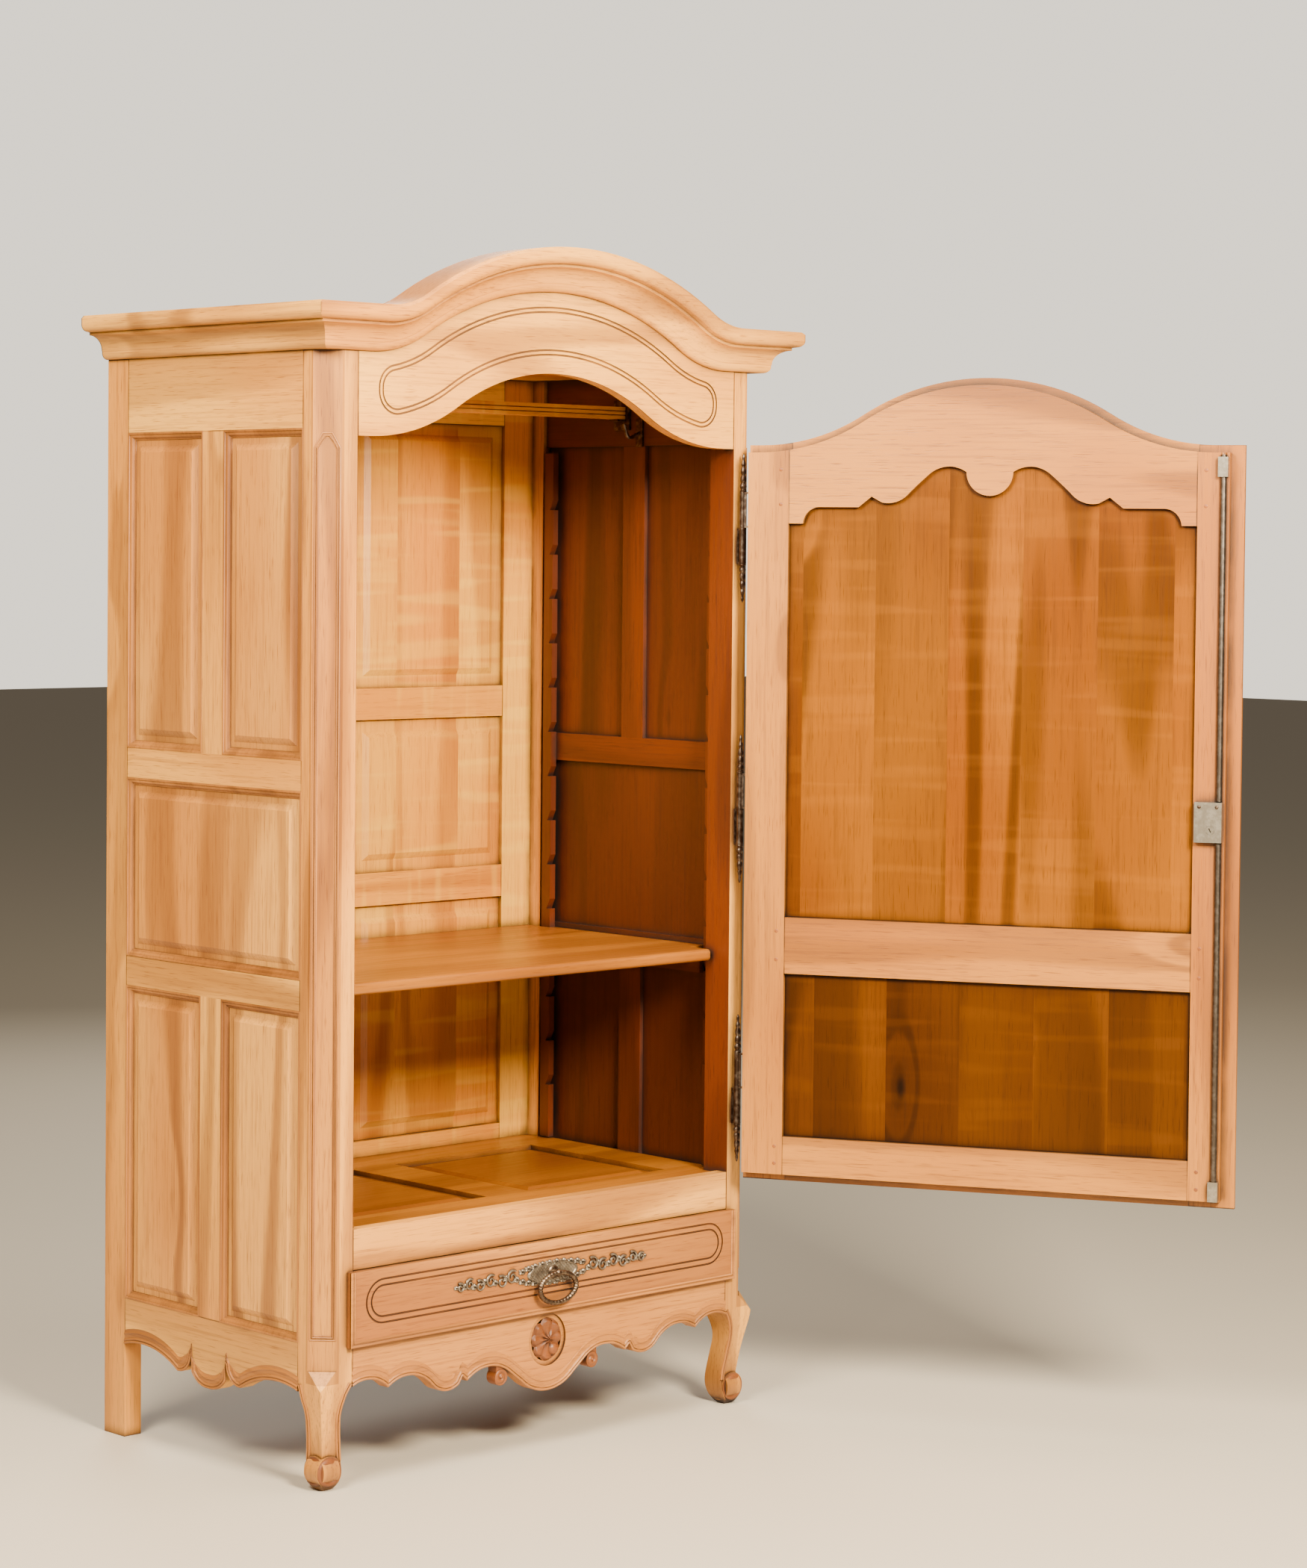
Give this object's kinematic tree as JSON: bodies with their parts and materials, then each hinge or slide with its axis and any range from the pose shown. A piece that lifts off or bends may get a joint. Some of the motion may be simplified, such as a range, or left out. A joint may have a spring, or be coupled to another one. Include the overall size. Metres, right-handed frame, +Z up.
{
  "type": "armoire",
  "caption": "Tall wooden wardrobe with an arched moulded cornice, one arched door, a shelf on notched racks, a hanging rail, a wide drawer and scrolled front feet.",
  "frame": {"origin": "on the floor, under the middle of the carcass's plan", "axes": "+Z up, -Y out of the front, +X to the right of someone who faces the front"},
  "size_m": [1.5018, 1.4936, 2.177],
  "materials": {
    "case_wood": "waxed pale oak",
    "panel_wood": "waxed pale oak",
    "back_wood": "waxed honey oak",
    "inner_wood": "waxed red-brown wood",
    "shelf_wood": "waxed pine",
    "door_wood": "waxed pale wood",
    "door_panel_wood": "varnished amber wood",
    "hinge_iron": "worn dark iron",
    "lock_nickel": "aged nickel",
    "rod_iron": "dark drawn iron",
    "plate_pewter": "pewter",
    "ring_iron": "dark bronze iron"
  },
  "bodies": {
    "carcass": {"front_left_post": "case_wood", "front_right_post": "case_wood", "rear_left_post": "case_wood", "rear_right_post": "case_wood", "frieze": "case_wood", "sill_rail": "case_wood", "front_apron": "case_wood", "rosette": "case_wood", "scroll_drops": "case_wood", "cornice_front": "case_wood", "cornice_left": "case_wood", "cornice_right": "case_wood", "drawer_runners": "case_wood", "left_side_top_rail": "case_wood", "left_side_mid_rails": "case_wood", "left_side_muntins": "case_wood", "left_side_apron": "case_wood", "right_side_top_rail": "case_wood", "right_side_mid_rails": "case_wood", "right_side_muntins": "case_wood", "right_side_apron": "case_wood", "left_upper_panels": "panel_wood", "left_lower_panels": "panel_wood", "right_upper_panels": "panel_wood", "right_lower_panels": "panel_wood", "roof": "back_wood", "back_uprights": "back_wood", "back_rails": "back_wood", "back_panels": "back_wood", "floor_frame": "inner_wood", "floor_panels": "inner_wood", "shelf_racks": "inner_wood", "shelf_cleats": "inner_wood", "hanging_rail": "inner_wood", "shelf": "shelf_wood", "rail_brackets": "hinge_iron", "coat_hook": "hinge_iron", "post_hinges": "hinge_iron"},
    "door": {"door_hinge_stile": "door_wood", "door_lock_stile": "door_wood", "door_top_rail": "door_wood", "door_mid_rail": "door_wood", "door_bottom_rail": "door_wood", "door_upper_panel": "door_panel_wood", "door_lower_panel": "door_panel_wood", "lock_case": "lock_nickel", "rod_guides": "lock_nickel", "escutcheon": "plate_pewter", "door_hinges": "hinge_iron"},
    "drawer": {"drawer_front": "case_wood", "drawer_sides": "inner_wood", "drawer_back": "inner_wood", "drawer_bottom": "inner_wood", "drawer_plate": "plate_pewter", "ring_post": "ring_iron"},
    "drawer_ring": {"drawer_ring": "ring_iron"},
    "upper_rod": {"upper_rod": "rod_iron"},
    "lower_rod": {"lower_rod": "rod_iron"},
    "lock_cam": {"lock_cam": "lock_nickel"}
  },
  "joints": [
    {"name": "door_hinge", "type": "hinge", "parent": "carcass", "child": "door", "pos_m": [0.47, -0.3315, 1.145], "axis": [0, 0, 1], "range_deg": [-118, 52]},
    {"name": "drawer_slide", "type": "slide", "parent": "carcass", "child": "drawer", "axis": [0, -1, 0], "range_m": [0, 0.42]},
    {"name": "ring_swing", "type": "hinge", "parent": "drawer", "child": "drawer_ring", "pos_m": [0, -0.345, 0.324], "axis": [-1, 0, 0], "range_deg": [-6, 110]},
    {"name": "upper_rod_slide", "type": "slide", "parent": "door", "child": "upper_rod", "axis": [0, 0, 1], "range_m": [0, 0.014]},
    {"name": "lower_rod_slide", "type": "slide", "parent": "door", "child": "lower_rod", "axis": [0, 0, -1], "range_m": [0, 0.014]},
    {"name": "lock_cam_turn", "type": "hinge", "parent": "door", "child": "lock_cam", "pos_m": [0.85017, -1.1498, 1.139], "axis": [-0.8829, -0.4695, 0], "range_deg": [0, 90]}
  ],
  "couplings": [
    {"joint": "lower_rod_slide", "follows": "upper_rod_slide", "ratio": 1},
    {"joint": "lock_cam_turn", "follows": "upper_rod_slide", "rad_per_m": 112}
  ]
}
